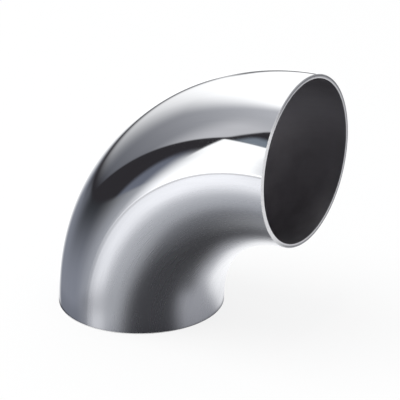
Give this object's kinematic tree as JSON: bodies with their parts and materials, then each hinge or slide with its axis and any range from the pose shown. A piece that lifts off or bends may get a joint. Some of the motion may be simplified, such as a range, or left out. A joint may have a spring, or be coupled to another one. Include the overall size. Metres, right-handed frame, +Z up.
{
  "type": "pipe elbow",
  "caption": "Ninety-degree butt-weld elbow of thin polished stainless tube, bent from the base to a sideways mouth, open right through.",
  "frame": {"origin": "centre of the base end's opening, in the plane of its weld face", "axes": "+Z up the base end's axis, into the tube; +X towards the side that the mouth faces; the bend lies in the plane y = 0 and -Y is the side with the seam weld"},
  "size_m": [0.0824, 0.0508, 0.0824],
  "materials": {
    "polished_steel": "mirror polish on the outside of the bend, fine satin grain along the inside of the bend, dull bore",
    "weld_steel": "ground flush and polished with the tube"
  },
  "bodies": {
    "root": {"tube_wall": "polished_steel", "seam_weld": "weld_steel"}
  },
  "joints": []
}
